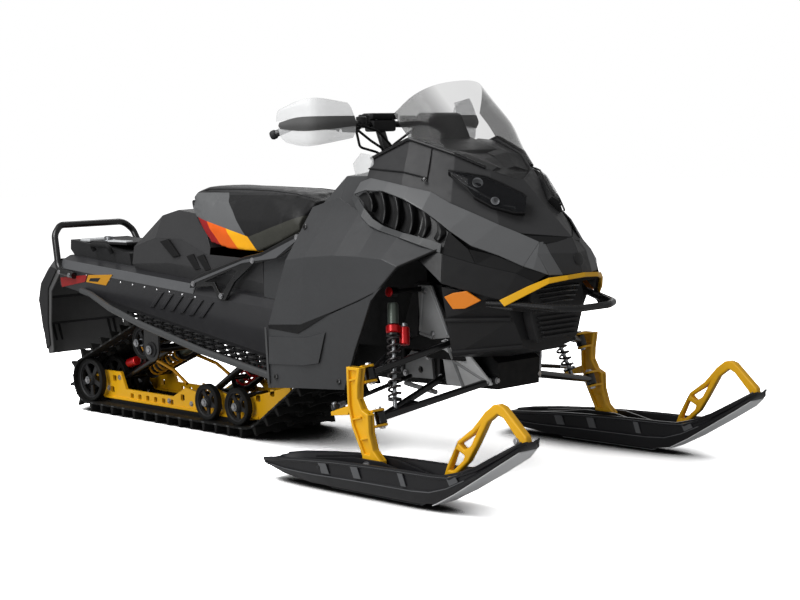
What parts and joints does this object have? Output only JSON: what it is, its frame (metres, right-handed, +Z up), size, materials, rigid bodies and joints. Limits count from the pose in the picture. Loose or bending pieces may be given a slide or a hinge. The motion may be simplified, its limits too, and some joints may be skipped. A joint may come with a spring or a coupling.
{
  "type": "snowmobile",
  "caption": "Trail snowmobile with two steered skis on long-travel arms, a lugged track under a sheet tunnel, faceted body panels, seat, handlebar and windshield.",
  "frame": {"origin": "on the ground, midway between the ski tips and the back of the snow flap, on the centre line", "axes": "+X forward, +Y to the rider's left, +Z up"},
  "size_m": [2.98, 1.216, 1.224],
  "materials": {
    "body_black": "satin",
    "body_grey": "satin",
    "panel_dark": "satin",
    "plain_black": "textured",
    "tunnel_paint": "satin",
    "yellow_paint": "gloss",
    "black_paint": "satin",
    "cast_alloy": "as cast",
    "steel": "plain",
    "track_rubber": "moulded",
    "wheel_plastic": "moulded",
    "ski_plastic": "moulded",
    "seat_vinyl": "grained",
    "soft_grip": "moulded",
    "clear_screen": "smoked",
    "lamp_lens": "clear",
    "amber_lens": "prismatic",
    "red_lens": "clear",
    "spring_paint": "gloss"
  },
  "bodies": {
    "chassis": {"tunnel": "tunnel_paint", "running_boards": "black_paint", "rear_bumper": "black_paint", "rear_deck": "plain_black", "snow_flap": "plain_black", "tail_lamp": "red_lens", "seat": "seat_vinyl", "storage_pod": "plain_black", "side_braces": "cast_alloy", "console": "panel_dark", "engine": "cast_alloy", "bulkhead": "cast_alloy", "hood": "body_black", "hood_bands": "body_grey", "nose": "panel_dark", "side_fairings": "body_black", "vent_louvres": "plain_black", "nose_strip": "yellow_paint", "front_grille": "plain_black", "belly_pan": "plain_black", "front_bumper": "black_paint", "side_reflectors": "amber_lens", "side_panels": "panel_dark", "windshield": "clear_screen", "dash": "plain_black", "gauge_pod": "plain_black", "headlights": "lamp_lens", "upper_arms": "black_paint", "lower_arms": "black_paint", "front_shocks": "spring_paint", "track": "track_rubber", "rails": "yellow_paint", "slider_shoes": "plain_black", "rear_axle": "wheel_plastic", "bogie_wheels": "wheel_plastic", "upper_idlers": "wheel_plastic", "drive_axle": "wheel_plastic", "skid_arms": "black_paint", "skid_shocks": "spring_paint"},
    "bar": {"steering_column": "black_paint", "handlebar": "black_paint", "grips": "soft_grip", "hand_guards": "clear_screen", "bar_controls": "plain_black"},
    "right_spindle": {"spindle_right": "yellow_paint"},
    "right_tie_rod": {"tie_rod_right": "black_paint"},
    "right_ski": {"ski_right": "ski_plastic", "ski_loop_right": "yellow_paint", "runner_right": "steel"},
    "left_spindle": {"spindle_left": "yellow_paint"},
    "left_tie_rod": {"tie_rod_left": "black_paint"},
    "left_ski": {"ski_left": "ski_plastic", "ski_loop_left": "yellow_paint", "runner_left": "steel"}
  },
  "joints": [
    {"name": "steer", "type": "hinge", "parent": "chassis", "child": "bar", "pos_m": [0.368, 0, 1.075], "axis": [-0.3746, 0, 0.9272], "range_deg": [-35, 35]},
    {"name": "right_spindle_turn", "type": "hinge", "parent": "chassis", "child": "right_spindle", "pos_m": [0.853, -0.488, 0.222], "axis": [-0.305, 0, 0.9523], "range_deg": [-28, 28]},
    {"name": "right_tie_rod_turn", "type": "hinge", "parent": "right_spindle", "child": "right_tie_rod", "pos_m": [0.711, -0.54, 0.247], "axis": [-0.305, 0, 0.9523], "range_deg": [-28, 28]},
    {"name": "right_ski_tilt", "type": "hinge", "parent": "right_spindle", "child": "right_ski", "pos_m": [0.878, -0.54, 0.092], "axis": [0, -1, 0], "range_deg": [-10, 16]},
    {"name": "left_spindle_turn", "type": "hinge", "parent": "chassis", "child": "left_spindle", "pos_m": [0.853, 0.488, 0.222], "axis": [-0.305, 0, 0.9523], "range_deg": [-28, 28]},
    {"name": "left_tie_rod_turn", "type": "hinge", "parent": "left_spindle", "child": "left_tie_rod", "pos_m": [0.711, 0.54, 0.247], "axis": [-0.305, 0, 0.9523], "range_deg": [-28, 28]},
    {"name": "left_ski_tilt", "type": "hinge", "parent": "left_spindle", "child": "left_ski", "pos_m": [0.878, 0.54, 0.092], "axis": [0, -1, 0], "range_deg": [-10, 16]}
  ],
  "couplings": [
    {"joint": "right_spindle_turn", "follows": "steer", "ratio": 0.8},
    {"joint": "right_tie_rod_turn", "follows": "steer", "ratio": -0.8},
    {"joint": "left_spindle_turn", "follows": "steer", "ratio": 0.8},
    {"joint": "left_tie_rod_turn", "follows": "steer", "ratio": -0.8}
  ]
}
